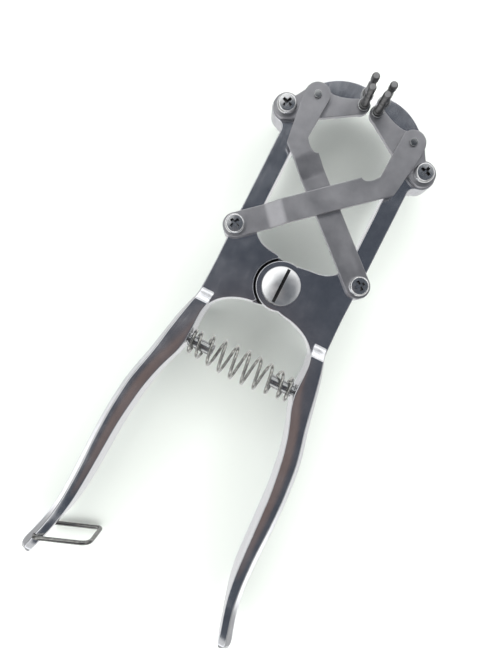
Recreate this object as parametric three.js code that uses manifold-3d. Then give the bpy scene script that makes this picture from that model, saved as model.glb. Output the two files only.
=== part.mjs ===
// Ring-expanding pliers: two cast aluminium levers lapped on one slotted pivot screw, with a barrel
// spring between the handles. Squeezing the handles swings the jaws apart, and two crossed steel arms
// pull the short prong arms down, so that four upright prongs open into a square.
//
// Frame: millimetres. The origin is on the pivot's axis, on the plane that the tool lies on (z = 0).
// +Y runs along the tool to the prongs, +X to the right, and +Z up, the way the prongs stand.
// Everything is drawn for the right-hand side (x > 0) and mirrored for the left.

import * as THREE from "three";
import { mergeVertices } from "three/addons/utils/BufferGeometryUtils.js";
import Module from "manifold-3d";

const wasm = await Module();
wasm.setup();

// ---------- Driving dimensions ----------

const CLEAR = 0.3; // gap kept between neighbouring pieces
const HANDLE_DEPTH = 22; // the handles stand from z = 0 to this height
const PLATE_LOW = 5; // underside of the lever plates
const PLATE_TOP = 17; // upper face of the lever plates
const MIDDLE = (PLATE_LOW + PLATE_TOP) / 2; // where the two halves of the lap joint meet
const ARM_THICKNESS = 2.5; // steel strip of the cross arms and prong arms
const LEVEL_1 = PLATE_TOP + CLEAR; // underside of the strips that lie on the levers
const ARM_TOP = LEVEL_1 + ARM_THICKNESS;
const LEVEL_2 = ARM_TOP + CLEAR; // underside of the strips that cross above them

const PIVOT = { x: 0, y: 0, lug: 12.2, recess: 13.4, shank: 4, nutFlats: 13 };
const PIVOT_HEAD = { radius: 9.4, height: 3.4, slotWidth: 1.5, slotDepth: 1.2 };
const LINK = { x: 32.8, y: 16.1, boss: 5.9 }; // cross arm on its lever
const EAR = { x: 36.3, y: 77.8, boss: 6.9, armBoss: 6.3 }; // prong arm on its lever
const RIVET = { x: 25.2, y: 87.8, shank: 1.5, head: 1.9, headHeight: 0.7, end: 6.1 };
const RIVET_PLAY = 2.7; // radius of the prong arm's hole, which the rivet has room to wander in
const LOWER_PRONG = { x: 3.7, y: 94.2 }; // on the prong arm
const UPPER_PRONG = { x: 4.5, y: 101.0 }; // on the jaw's tip
const SCREW = { shank: 2.3, head: 4.8, headHeight: 3.4, foot: 1.2, nutFlats: 8, nutFoot: 0.7 };
const CROSS_RECESS = { width: 1.3, length: 5, depth: 1.8 };

const BAR_INNER = 25; // the window's side
const BAR_OUTER = 34;
const ARM_HALF_WIDTH = 5.9;
const FRONT_JOGGLE = { start: 15, end: 25 }; // distances from the link screw, along the strip
const REAR_JOGGLE = { start: 56, end: 68 };

const PRONG = { shank: 1.3, flange: 2.4, pin: 1.85, neck: 1.3, height: 18 };
const PEEN = { radius: 2.2, height: 0.8 }; // the riveted end under each prong
const WASHER = { outer: 3.0, thickness: 1.0 };

const POST = { wall: 28.6, y: -43, radius: 3, length: 13, tail: 3 };
const SPRING = { wire: 0.8, endRadius: 5.6, midRadius: 8.0, turns: 10, closedTurns: 1 };
const BAIL = { x: 51.2, y: -159.5, wire: 1.05, length: 26.6, angle: 20.4, stub: 4.5, corner: 2.2 };
const TIP_DEPTH = 17; // depth of the handle where the bail crosses it

// Handle sections, from the plate to the tip: y, inner wall, crown's outer edge, outer wall, depth.
const HANDLE_SECTIONS = [
  [-15.0, 28.0, 32.6, 33.2, PLATE_TOP - PLATE_LOW],
  [-18.3, 27.0, 33.6, 34.3, PLATE_TOP - PLATE_LOW],
  [-22.6, 27.4, 34.0, 35.4, HANDLE_DEPTH],
  [-28.5, 28.4, 35.4, 37.2, HANDLE_DEPTH],
  [-35, 28.5, 36.8, 39.0, HANDLE_DEPTH],
  [-42, 28.6, 38.2, 40.5, HANDLE_DEPTH],
  [-49, 29.9, 39.4, 42.0, HANDLE_DEPTH],
  [-57, 32.8, 41.0, 43.7, HANDLE_DEPTH],
  [-64, 35.0, 42.7, 45.5, HANDLE_DEPTH],
  [-73, 37.1, 44.6, 47.5, HANDLE_DEPTH],
  [-83, 38.6, 45.7, 48.7, HANDLE_DEPTH],
  [-93, 39.8, 46.4, 49.5, HANDLE_DEPTH],
  [-105, 40.5, 46.6, 49.9, HANDLE_DEPTH],
  [-119, 41.2, 46.4, 50.0, HANDLE_DEPTH],
  [-133, 42.2, 46.3, 50.2, HANDLE_DEPTH],
  [-143, 43.7, 46.9, 51.1, 19.8],
  [-152, 45.9, 48.2, 52.9, 17.2],
  [-160, 48.2, 50.2, 55.2, TIP_DEPTH],
  [-166.5, 49.9, 51.7, 57.0, 14.5],
  [-169.5, 51.2, 52.7, 57.2, 10.5],
];
const CROWN_SLOPE = 0.32; // share of the depth that each outer bevel takes
const INNER_CHAMFER = 0.8;
const THROUGH = [-1, HANDLE_DEPTH + 1]; // from below the tool to above it
const ABOVE_ALL = 40; // higher than any piece

// ---------- Materials ----------

const finish = (color, roughness, metalness = 1) =>
  new THREE.MeshStandardMaterial({ color, roughness, metalness });
const CAST = finish(0xc3c6cc, 0.16);
const STRIP = finish(0x94979d, 0.48);
const PIN = finish(0x6f7072, 0.42);
const ZINC = finish(0xd6d8da, 0.24);
const WIRE = finish(0xb4b4ae, 0.26);

// ---------- Solids ----------

// A closed geometry as a solid for joining and cutting.
function solidOf(geometry) {
  const bare = new THREE.BufferGeometry();
  const source = geometry.index ? geometry.toNonIndexed() : geometry;
  bare.setAttribute("position", source.getAttribute("position"));
  const welded = mergeVertices(bare, 1e-4);
  return new wasm.Manifold(
    new wasm.Mesh({
      numProp: 3,
      vertProperties: new Float32Array(welded.getAttribute("position").array),
      triVerts: new Uint32Array(welded.index.array),
    }),
  );
}

function geometryOf(solid) {
  const { vertProperties, triVerts } = solid.getMesh();
  const geometry = new THREE.BufferGeometry();
  geometry.setAttribute("position", new THREE.BufferAttribute(vertProperties, 3));
  geometry.setIndex(new THREE.BufferAttribute(triVerts, 1));
  const faceted = geometry.toNonIndexed();
  faceted.computeVertexNormals();
  return faceted;
}

const join = (...geometries) =>
  geometryOf(geometries.map(solidOf).reduce((whole, piece) => whole.add(piece)));

const cut = (base, ...tools) =>
  geometryOf(tools.map(solidOf).reduce((left, tool) => left.subtract(tool), solidOf(base)));

const common = (a, b) => geometryOf(solidOf(a).intersect(solidOf(b)));

// A flat outline raised from zLow to zHigh.
function slab(outline, zLow, zHigh) {
  const settings = { depth: zHigh - zLow, bevelEnabled: false, curveSegments: 12 };
  return new THREE.ExtrudeGeometry(outline, settings).translate(0, 0, zLow);
}

// An upright round bar.
function bar({ x, y }, radius, zLow, zHigh, sides = 32) {
  return new THREE.CylinderGeometry(radius, radius, zHigh - zLow, sides)
    .rotateX(Math.PI / 2)
    .translate(x, y, (zLow + zHigh) / 2);
}

// A turned piece on an upright axis: profile points are [radius, height], from the axis up to the axis.
function turned({ x, y }, zBase, profile, sides = 32) {
  const points = profile.map(([radius, height]) => new THREE.Vector2(radius, height));
  return new THREE.LatheGeometry(points, sides).rotateX(Math.PI / 2).translate(x, y, zBase);
}

function block([width, length, height], [x, y, z], turn = 0) {
  return new THREE.BoxGeometry(width, length, height).rotateZ(turn).translate(x, y, z);
}

// A skin over equal rings of points, closed by a flat fan at each end.
function loft(rings) {
  const size = rings[0].length;
  const corners = [];
  const triangle = (...points) => points.forEach((p) => corners.push(p.x, p.y, p.z));
  for (let i = 0; i + 1 < rings.length; i += 1) {
    for (let k = 0; k < size; k += 1) {
      const next = (k + 1) % size;
      triangle(rings[i][k], rings[i][next], rings[i + 1][next]);
      triangle(rings[i][k], rings[i + 1][next], rings[i + 1][k]);
    }
  }
  const last = rings[rings.length - 1];
  for (let k = 1; k + 1 < size; k += 1) {
    triangle(rings[0][0], rings[0][k + 1], rings[0][k]);
    triangle(last[0], last[k], last[k + 1]);
  }
  const positions = new THREE.Float32BufferAttribute(corners, 3);
  return new THREE.BufferGeometry().setAttribute("position", positions);
}

// A round wire along a curve.
function wireAlong(curve, radius, steps, sides) {
  const section = new THREE.Shape();
  section.absarc(0, 0, radius, 0, 2 * Math.PI);
  const settings = { steps, curveSegments: sides, extrudePath: curve, bevelEnabled: false };
  return new THREE.ExtrudeGeometry(section, settings);
}

// ---------- The levers ----------

// One handle: an inner wall, a crown, and long bevels on the side that the palm holds.
function handle() {
  const rings = HANDLE_SECTIONS.map(([y, inner, crown, outer, depth]) => {
    const middle = HANDLE_DEPTH / 2;
    const half = depth / 2;
    const bevel = depth * CROWN_SLOPE;
    const section = [
      [inner, -half + INNER_CHAMFER],
      [inner + INNER_CHAMFER, -half],
      [crown, -half],
      [outer, -half + bevel],
      [outer, half - bevel],
      [crown, half],
      [inner + INNER_CHAMFER, half],
      [inner, half - INNER_CHAMFER],
    ];
    return section.map(([x, z]) => new THREE.Vector3(x, y, middle + z));
  });
  return loft(rings);
}

// The plate beside the pivot, the bar up to the ear and the curved jaw, seen from above. One half of
// its thickness runs on into the lever's own lug, the other half stops short of the other lever's lug.
function frameOutline(reachesLug) {
  const shape = new THREE.Shape();
  if (reachesLug) {
    shape.moveTo(0, 11);
    shape.lineTo(0, -12);
    shape.lineTo(8, -12.6);
  } else {
    shape.moveTo(7.5, 12.2);
    shape.lineTo(5, 8);
    shape.lineTo(5, -8);
    shape.lineTo(9.4, -12.7);
  }
  shape.bezierCurveTo(17, -13.2, 25.5, -17.5, 28.2, -25.5);
  shape.lineTo(34.6, -25.5);
  shape.quadraticCurveTo(33.8, -12, 33.7, 0);
  shape.lineTo(BAR_OUTER, 22);
  shape.lineTo(BAR_OUTER, 67);
  shape.quadraticCurveTo(BAR_OUTER, 70.4, 37.4, 71);
  shape.lineTo(34.6, 84);
  shape.bezierCurveTo(31, 94.5, 21, 103.6, 8.2, 104.1);
  shape.quadraticCurveTo(5.6, 104.3, UPPER_PRONG.x, 104.2);
  shape.absarc(UPPER_PRONG.x, UPPER_PRONG.y, 3.2, Math.PI / 2, 1.5 * Math.PI, false);
  shape.quadraticCurveTo(9, 96, 15.5, 93.8);
  shape.bezierCurveTo(21, 91.8, BAR_INNER, 87, BAR_INNER, 78);
  shape.lineTo(BAR_INNER, 27);
  shape.bezierCurveTo(BAR_INNER, 21.5, 22.6, 17.2, 17.4, 14.6);
  shape.quadraticCurveTo(14.5, 13.3, 8.8, 13.2);
  if (reachesLug) {
    shape.lineTo(3.4, 12.8);
    shape.lineTo(1.9, 11.6);
  }
  shape.closePath();
  return shape;
}

// Each lever owns one half of the lap joint: the right one's lug is the upper disc, the left one's
// the lower disc, and each is cut away round the other's.
function lever(lugOnTop) {
  const [lugLow, lugHigh] = lugOnTop
    ? [MIDDLE + CLEAR / 2, PLATE_TOP]
    : [PLATE_LOW, MIDDLE - CLEAR / 2];
  const [roomLow, roomHigh] = lugOnTop
    ? [PLATE_LOW - 1, MIDDLE + CLEAR / 2]
    : [MIDDLE - CLEAR / 2, PLATE_TOP + 1];
  const body = join(
    slab(frameOutline(lugOnTop), MIDDLE, PLATE_TOP),
    slab(frameOutline(!lugOnTop), PLATE_LOW, MIDDLE),
    bar(LINK, LINK.boss, PLATE_LOW, PLATE_TOP, 40),
    bar(EAR, EAR.boss, PLATE_LOW, PLATE_TOP, 40),
    handle(),
  );
  const opened = cut(body, bar(PIVOT, PIVOT.recess, roomLow, roomHigh, 64));
  const lapped = join(opened, bar(PIVOT, PIVOT.lug, lugLow, lugHigh, 64));
  return cut(
    lapped,
    bar(PIVOT, PIVOT.shank + CLEAR, ...THROUGH),
    bar(LINK, SCREW.shank + CLEAR, ...THROUGH, 20),
    bar(EAR, SCREW.shank + CLEAR, ...THROUGH, 20),
    bar(UPPER_PRONG, PRONG.shank + CLEAR, ...THROUGH, 16),
    postTail(CLEAR),
  );
}

// ---------- Strips ----------

const ARM_SLOPE = Math.atan2(45.5, 52.2); // direction of the cross arm's straight strip

// The cross arm's outline: a straight strip from the lever, an elbow, and a wider upright end.
function crossArmOutline(end) {
  const start = { x: -LINK.x, y: LINK.y };
  const side = {
    x: -Math.sin(ARM_SLOPE) * ARM_HALF_WIDTH,
    y: Math.cos(ARM_SLOPE) * ARM_HALF_WIDTH,
  };
  const shape = new THREE.Shape();
  shape.moveTo(start.x - side.x, start.y - side.y);
  shape.lineTo(28.2, 61.7);
  shape.lineTo(end.x + end.end, end.y - 4);
  shape.absarc(end.x, end.y, end.end, -0.2, Math.PI + 0.1, false);
  shape.lineTo(18.6, 66.4);
  shape.quadraticCurveTo(16.6, 63.2, 14.2, 62.4);
  shape.quadraticCurveTo(12.8, 62.1, 11.6, 62.9);
  shape.lineTo(start.x + side.x, start.y + side.y);
  const turn = ARM_SLOPE + Math.PI / 2;
  shape.absarc(start.x, start.y, ARM_HALF_WIDTH, turn, turn + Math.PI, false);
  return shape;
}

// A bent strip, seen from the side: flat on the lever, a joggle, and flat one level higher.
function joggleProfile({ start, end }) {
  const tail = -20; // beyond the strip's own start
  const reach = 130; // beyond its far end
  return [
    [tail, LEVEL_1],
    [start, LEVEL_1],
    [end, LEVEL_2],
    [reach, LEVEL_2],
    [reach, LEVEL_2 + ARM_THICKNESS],
    [end, LEVEL_2 + ARM_THICKNESS],
    [start, LEVEL_1 + ARM_THICKNESS],
    [tail, LEVEL_1 + ARM_THICKNESS],
  ].map(([along, height]) => new THREE.Vector2(along, height));
}

// Both cross arms have the same outline; they differ in where the joggle lifts them.
function crossArm(joggle) {
  const width = 160; // wider than the whole tool
  const profile = new THREE.Shape(joggleProfile(joggle));
  const strip = new THREE.ExtrudeGeometry(profile, { depth: width, bevelEnabled: false })
    .translate(0, 0, -width / 2)
    .rotateX(Math.PI / 2)
    .rotateZ(ARM_SLOPE)
    .translate(-LINK.x, LINK.y, 0);
  return cut(
    common(slab(crossArmOutline(RIVET), 0, ABOVE_ALL), strip),
    bar({ x: -LINK.x, y: LINK.y }, SCREW.shank + CLEAR, ...THROUGH, 20),
    bar(RIVET, RIVET.shank + CLEAR, LEVEL_1, ABOVE_ALL, 16),
  );
}

// The prong arm: a boss on the ear, a wide web under the cross arm's end, and a tapered finger.
function prongArm() {
  const shape = new THREE.Shape();
  shape.moveTo(EAR.x - 2.4, EAR.y - 6.2);
  shape.lineTo(19.2, 79.6);
  shape.lineTo(4.1, 89);
  shape.quadraticCurveTo(1.1, 89.9, 0.6, 92.6);
  shape.absarc(LOWER_PRONG.x, LOWER_PRONG.y, 3.4, -2.6, -3.9, true);
  shape.lineTo(7.2, 96.0);
  shape.quadraticCurveTo(14, 92.6, 19, 92.4);
  shape.quadraticCurveTo(26, 94.4, 31, 90.4);
  shape.quadraticCurveTo(32.4, 87.6, EAR.x - 1.6, EAR.y + 6.4);
  shape.closePath();
  return cut(
    join(slab(shape, LEVEL_1, ARM_TOP), bar(EAR, EAR.armBoss, LEVEL_1, ARM_TOP, 40)),
    bar(EAR, SCREW.shank + CLEAR, ...THROUGH, 20),
    bar(RIVET, RIVET_PLAY, ...THROUGH, 20),
    bar(LOWER_PRONG, PRONG.shank + CLEAR, ...THROUGH, 16),
  );
}

// ---------- Fasteners ----------

// The slotted pivot screw: a domed head, a plain shank, and an end flush with the resting plane.
function pivotScrew() {
  const { radius, height, slotWidth, slotDepth } = PIVOT_HEAD;
  const base = PLATE_TOP + CLEAR;
  const top = base + height;
  const dome = turned(PIVOT, 0, [
    [0, 0],
    [PIVOT.shank, 0],
    [PIVOT.shank, base],
    [radius - 0.5, base],
    [radius, base + 0.6],
    [radius - 0.4, base + 1.7],
    [radius - 2.2, top - 0.5],
    [radius - 4.6, top],
    [0, top],
  ], 40);
  return cut(dome, block([slotWidth, 3 * radius, 2 * slotDepth], [0, 0, top]));
}

// A pan-head screw with a cross recess; its shank ends inside its nut.
function panScrew(place) {
  const { shank, head, headHeight, foot } = SCREW;
  const { width, length, depth } = CROSS_RECESS;
  const base = ARM_TOP + CLEAR;
  const recess = [width, length, 2 * depth];
  const body = turned(place, 0, [
    [0, foot],
    [shank, foot],
    [shank, base],
    [head, base],
    [head, base + 1.2],
    [head - 0.7, base + headHeight - 0.8],
    [head - 2, base + headHeight],
    [0, base + headHeight],
  ], 24);
  const at = [place.x, place.y, base + headHeight];
  return cut(body, block(recess, at, Math.PI / 4), block(recess, at, -Math.PI / 4));
}

// A hexagon nut on the underside of the plate, bored clear of its screw.
function nut(place, flats, shank, zLow) {
  const corner = flats / Math.sqrt(3);
  const hexagon = bar(place, corner, zLow, PLATE_LOW - CLEAR, 6);
  return cut(hexagon, bar(place, shank + CLEAR, ...THROUGH, 24));
}

function washer({ x, y }, zBase) {
  const bore = PRONG.shank + CLEAR;
  const { outer, thickness } = WASHER;
  return cut(
    bar({ x, y }, outer, zBase, zBase + thickness, 24),
    bar({ x, y }, bore, zBase - 1, zBase + thickness + 1, 12),
  );
}

// An upright prong: a riveted shank, a flange, a pin, a neck that the ring sits in, a rounded head.
function prong(place, faceZ, undersideZ) {
  const seat = faceZ + CLEAR + WASHER.thickness + CLEAR;
  const peenTop = undersideZ - CLEAR;
  const { shank, flange, pin, neck, height } = PRONG;
  return turned(place, 0, [
    [0, peenTop - PEEN.height],
    [PEEN.radius, peenTop - PEEN.height],
    [PEEN.radius, peenTop],
    [shank, peenTop],
    [shank, seat],
    [flange, seat],
    [flange, seat + 1.0],
    [pin, seat + 1.2],
    [pin, faceZ + 0.52 * height],
    [neck, faceZ + 0.66 * height],
    [neck, faceZ + 0.74 * height],
    [pin, faceZ + 0.76 * height],
    [pin, faceZ + height - 1.0],
    [pin - 0.7, faceZ + height - 0.2],
    [0, faceZ + height],
  ], 16);
}

function rivet() {
  const top = LEVEL_2 + ARM_THICKNESS + CLEAR;
  const foot = LEVEL_1 + CLEAR;
  const { shank, head, headHeight } = RIVET;
  return turned(RIVET, 0, [
    [0, foot],
    [shank, foot],
    [shank, top],
    [head, top],
    [head - 0.3, top + headHeight * 0.7],
    [head - 1.0, top + headHeight],
    [0, top + headHeight],
  ], 16);
}

// ---------- Spring, posts and bail ----------

// The part of a post that sits in the handle's wall, grown by a clearance when it is the hole.
function postTail(grow) {
  const { wall, y, radius, tail } = POST;
  const length = tail + 2;
  return new THREE.CylinderGeometry(radius - 1 + grow, radius - 1 + grow, length + grow, 24)
    .rotateZ(Math.PI / 2)
    .translate(wall + tail - length / 2 + grow / 2, y, HANDLE_DEPTH / 2);
}

// A polished stud on the handle's inner wall that keeps the spring's end in place.
function springPost() {
  const { wall, y, radius, length } = POST;
  const profile = [
    [0, 0],
    [radius, 0],
    [radius, length - 0.6],
    [radius - 0.6, length],
    [0, length],
  ].map(([r, along]) => new THREE.Vector2(r, along));
  const stud = new THREE.LatheGeometry(profile, 24)
    .rotateZ(Math.PI / 2)
    .translate(wall - CLEAR, y, HANDLE_DEPTH / 2);
  return join(stud, postTail(0));
}

// The barrel spring's centre line: closed turns at both ends, and wider turns in the middle.
class BarrelCurve extends THREE.Curve {
  getPoint(t, target = new THREE.Vector3()) {
    const { wire, endRadius, midRadius, turns, closedTurns } = SPRING;
    const span = POST.wall - CLEAR - wire;
    const closedShare = closedTurns / turns;
    const closedWidth = closedTurns * 2.7 * wire;
    const open = THREE.MathUtils.clamp((t - closedShare) / (1 - 2 * closedShare), 0, 1);
    const lead = Math.min(t, closedShare) + Math.max(t - 1 + closedShare, 0);
    const x = -span + (lead / closedShare) * closedWidth + open * 2 * (span - closedWidth);
    const radius = endRadius + (midRadius - endRadius) * Math.sin(Math.PI * open);
    const turn = 2 * Math.PI * turns * t;
    return target.set(x, POST.y + radius * Math.cos(turn), HANDLE_DEPTH / 2 + radius * Math.sin(turn));
  }
}

function spring() {
  const stepsPerTurn = 12;
  return wireAlong(new BarrelCurve(), SPRING.wire, SPRING.turns * stepsPerTurn, 3);
}

// The latch bail: an upright U of wire whose ends hook into a hole through the handle's tip.
function bail() {
  const { x, y, wire, length, angle, stub, corner } = BAIL;
  const reach = THREE.MathUtils.degToRad(angle);
  const middle = HANDLE_DEPTH / 2;
  const rise = TIP_DEPTH / 2 + CLEAR + wire;
  const at = (along, height) =>
    new THREE.Vector3(-x + along * Math.cos(reach), y + along * Math.sin(reach), middle + height);
  const path = new THREE.CurvePath();
  const straight = (a, b) => path.add(new THREE.LineCurve3(a, b));
  const bend = (a, b, c) => path.add(new THREE.QuadraticBezierCurve3(a, b, c));
  straight(at(0, rise - stub), at(0, rise - corner));
  bend(at(0, rise - corner), at(0, rise), at(corner, rise));
  straight(at(corner, rise), at(length - corner, rise));
  bend(at(length - corner, rise), at(length, rise), at(length, rise - corner));
  straight(at(length, rise - corner), at(length, corner - rise));
  bend(at(length, corner - rise), at(length, -rise), at(length - corner, -rise));
  straight(at(length - corner, -rise), at(corner, -rise));
  bend(at(corner, -rise), at(0, -rise), at(0, corner - rise));
  straight(at(0, corner - rise), at(0, stub - rise));
  return wireAlong(path, wire, 64, 3);
}

// ---------- Assembly ----------

const pliers = new THREE.Group();

// A named piece; side -1 mirrors it to the left.
function add(name, geometry, material, side = 1) {
  const mesh = new THREE.Mesh(geometry, material);
  mesh.name = name;
  mesh.scale.x = side;
  pliers.add(mesh);
}

const bailHole = bar(BAIL, BAIL.wire + CLEAR, ...THROUGH, 16);
const SIDES = [["right", 1], ["left", -1]];

add("right_lever", lever(true), CAST);
add("left_lever", cut(lever(false), bailHole), CAST, -1);
add("pivot_screw", pivotScrew(), ZINC);
add("pivot_nut", nut(PIVOT, PIVOT.nutFlats, PIVOT.shank, 0), ZINC);
add("front_cross_arm", crossArm(FRONT_JOGGLE), STRIP);
add("rear_cross_arm", crossArm(REAR_JOGGLE), STRIP, -1);
add("return_spring", spring(), WIRE);
add("latch_bail", bail(), WIRE);

for (const [side, sign] of SIDES) {
  add(`prong_arm_${side}`, prongArm(), STRIP, sign);
  add(`link_screw_${side}`, panScrew(LINK), ZINC, sign);
  add(`ear_screw_${side}`, panScrew(EAR), ZINC, sign);
  add(`link_nut_${side}`, nut(LINK, SCREW.nutFlats, SCREW.shank, SCREW.nutFoot), ZINC, sign);
  add(`ear_nut_${side}`, nut(EAR, SCREW.nutFlats, SCREW.shank, SCREW.nutFoot), ZINC, sign);
  add(`link_rivet_${side}`, rivet(), STRIP, sign);
  add(`lower_prong_${side}`, prong(LOWER_PRONG, ARM_TOP, LEVEL_1), PIN, sign);
  add(`upper_prong_${side}`, prong(UPPER_PRONG, PLATE_TOP, PLATE_LOW), PIN, sign);
  add(`lower_prong_washer_${side}`, washer(LOWER_PRONG, ARM_TOP + CLEAR), PIN, sign);
  add(`upper_prong_washer_${side}`, washer(UPPER_PRONG, PLATE_TOP + CLEAR), PIN, sign);
  add(`spring_post_${side}`, springPost(), ZINC, sign);
}

export default pliers;
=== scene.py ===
import math

import bpy
import bmesh
from mathutils import Matrix, Vector
from mathutils.geometry import tessellate_polygon


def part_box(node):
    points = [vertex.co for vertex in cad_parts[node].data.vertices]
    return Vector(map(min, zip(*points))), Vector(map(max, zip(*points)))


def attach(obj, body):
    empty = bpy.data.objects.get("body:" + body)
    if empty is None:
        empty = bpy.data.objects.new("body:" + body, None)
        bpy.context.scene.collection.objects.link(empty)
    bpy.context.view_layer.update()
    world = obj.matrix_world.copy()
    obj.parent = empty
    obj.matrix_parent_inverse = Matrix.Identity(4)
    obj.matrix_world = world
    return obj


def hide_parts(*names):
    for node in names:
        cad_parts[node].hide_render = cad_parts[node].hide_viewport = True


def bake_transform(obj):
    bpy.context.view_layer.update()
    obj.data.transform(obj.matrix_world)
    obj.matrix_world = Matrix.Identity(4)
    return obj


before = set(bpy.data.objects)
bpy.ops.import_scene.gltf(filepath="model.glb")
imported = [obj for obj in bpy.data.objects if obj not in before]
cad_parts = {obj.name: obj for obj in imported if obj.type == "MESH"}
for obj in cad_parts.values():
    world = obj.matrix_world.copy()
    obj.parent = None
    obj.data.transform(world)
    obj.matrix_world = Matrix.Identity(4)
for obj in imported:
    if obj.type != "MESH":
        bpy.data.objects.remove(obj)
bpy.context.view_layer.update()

MM = 0.001  # everything below is drawn in millimetres
TAU = 2 * math.pi


def corners(node):
    """The CAD node's lowest and highest corners, in millimetres."""
    low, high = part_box(node)
    return [c / MM for c in low], [c / MM for c in high]


def place_of(node):
    """The centre of an upright CAD node, seen from above."""
    low, high = corners(node)
    return (low[0] + high[0]) / 2, (low[1] + high[1]) / 2


# ---------------------------------------------------------------- heights and places from the frame

ARM_LOW = corners("front_cross_arm")[0][2]
ARM_TOP = corners("prong_arm_right")[1][2]
ARM_THICKNESS = ARM_TOP - ARM_LOW
HIGH_TOP = corners("front_cross_arm")[1][2]
RISE = HIGH_TOP - ARM_TOP
CLEAR = RISE - ARM_THICKNESS
PLATE_TOP = ARM_LOW - CLEAR
HANDLE_TOP = corners("right_lever")[1][2]
MIDDLE = HANDLE_TOP / 2
PLATE_LOW = 2 * MIDDLE - PLATE_TOP
LINK = place_of("link_screw_right")
EAR = place_of("ear_screw_right")
RIVET = place_of("link_rivet_right")
LOWER_PRONG = place_of("lower_prong_right")
UPPER_PRONG = place_of("upper_prong_right")
POST_Y = place_of("spring_post_right")[1]


# ---------------------------------------------------------------- materials


def new_material(name, color, metallic, roughness):
    material = bpy.data.materials.new(name)
    material.use_nodes = True
    shader = material.node_tree.nodes["Principled BSDF"]
    shader.inputs["Base Color"].default_value = (*color, 1)
    shader.inputs["Metallic"].default_value = metallic
    shader.inputs["Roughness"].default_value = roughness
    return material


def node(material, kind, **values):
    made = material.node_tree.nodes.new(kind)
    for key, value in values.items():
        if key in made.inputs:
            made.inputs[key].default_value = value
        else:
            setattr(made, key, value)
    return made


def ramp(material, source, stops):
    made = node(material, "ShaderNodeValToRGB")
    elements = made.color_ramp.elements
    for i, (position, color) in enumerate(stops):
        element = elements[i] if i < 2 else elements.new(position)
        element.position = position
        element.color = (*color, 1)
    material.node_tree.links.new(source, made.inputs["Fac"])
    return made.outputs["Color"]


SCRATCH_DEPTH = 0.00004  # metres


def textured_metal(name, dark, light, rough, grain, scratch, bump):
    """A metal whose tone and gloss vary.

    grain is the cloudy noise's (scale, detail), and scratch is the stretched noise's scale.
    """
    material = new_material(name, light, 1.0, rough[0])
    links = material.node_tree.links
    shader = material.node_tree.nodes["Principled BSDF"]
    coordinates = node(material, "ShaderNodeTexCoord")
    cloud = node(material, "ShaderNodeTexNoise", Scale=grain[0], Detail=grain[1], Roughness=0.62)
    links.new(coordinates.outputs["Object"], cloud.inputs["Vector"])
    color = ramp(material, cloud.outputs["Fac"], [(0.32, dark), (0.68, light)])
    links.new(color, shader.inputs["Base Color"])

    stretch = node(material, "ShaderNodeMapping", Scale=scratch)
    links.new(coordinates.outputs["Object"], stretch.inputs["Vector"])
    lines = node(material, "ShaderNodeTexNoise", Scale=1.0, Detail=3.0, Roughness=0.55)
    links.new(stretch.outputs["Vector"], lines.inputs["Vector"])
    mixed = node(material, "ShaderNodeMath", operation="MULTIPLY_ADD")
    mixed.inputs[1].default_value = 0.5
    links.new(lines.outputs["Fac"], mixed.inputs[0])
    links.new(cloud.outputs["Fac"], mixed.inputs[2])
    gloss = node(material, "ShaderNodeMapRange")
    gloss.inputs["From Min"].default_value = 0.45
    gloss.inputs["From Max"].default_value = 1.05
    gloss.inputs["To Min"].default_value = rough[0]
    gloss.inputs["To Max"].default_value = rough[1]
    links.new(mixed.outputs[0], gloss.inputs["Value"])
    links.new(gloss.outputs["Result"], shader.inputs["Roughness"])

    relief = node(material, "ShaderNodeBump", Strength=bump, Distance=SCRATCH_DEPTH)
    links.new(lines.outputs["Fac"], relief.inputs["Height"])
    links.new(relief.outputs["Normal"], shader.inputs["Normal"])
    return material


CAST = textured_metal("polished_casting", (0.70, 0.71, 0.74), (0.86, 0.87, 0.90),
                      (0.10, 0.24), (60, 5), (900, 160, 500), 0.35)
STRIP = textured_metal("satin_strip", (0.42, 0.42, 0.44), (0.54, 0.54, 0.56),
                       (0.36, 0.52), (90, 6), (2400, 2400, 2400), 0.5)
PIN = textured_metal("turned_steel", (0.14, 0.14, 0.14), (0.24, 0.24, 0.24),
                     (0.30, 0.46), (700, 4), (600, 600, 5000), 0.5)
ZINC = textured_metal("bright_zinc_plate", (0.80, 0.81, 0.81), (0.93, 0.94, 0.94),
                      (0.14, 0.26), (260, 4), (1800, 1800, 1800), 0.25)
# Painted highlight: a lighter, rougher copy of the pin steel for the prongs' upward-facing end
# faces, so they read as lit from above.
PAINTED_LIT_PIN_TOP = textured_metal("painted_lit_pin_top", (0.40, 0.40, 0.40), (0.52, 0.52, 0.52),
                         (0.6, 0.75), (700, 4), (2000, 2000, 2000), 0.5)
TURNED_ZINC = textured_metal("turned_zinc_plate", (0.78, 0.79, 0.79), (0.93, 0.94, 0.94),
                             (0.26, 0.36), (260, 4), (1800, 1800, 1800), 0.25)
turned_shader = TURNED_ZINC.node_tree.nodes["Principled BSDF"]
turned_shader.inputs["Anisotropic"].default_value = 0.75
TURNED_ZINC.node_tree.links.new(
    node(TURNED_ZINC, "ShaderNodeTangent", direction_type="RADIAL", axis="Z").outputs["Tangent"],
    turned_shader.inputs["Tangent"])
BAIL_WIRE = textured_metal("dull_wire", (0.22, 0.22, 0.21), (0.34, 0.34, 0.33),
                           (0.12, 0.22), (500, 3), (900, 900, 900), 0.25)
POST_ZINC = textured_metal("dull_zinc_plate", (0.40, 0.41, 0.41), (0.56, 0.57, 0.57),
                           (0.18, 0.30), (260, 4), (1800, 1800, 1800), 0.25)
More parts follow.
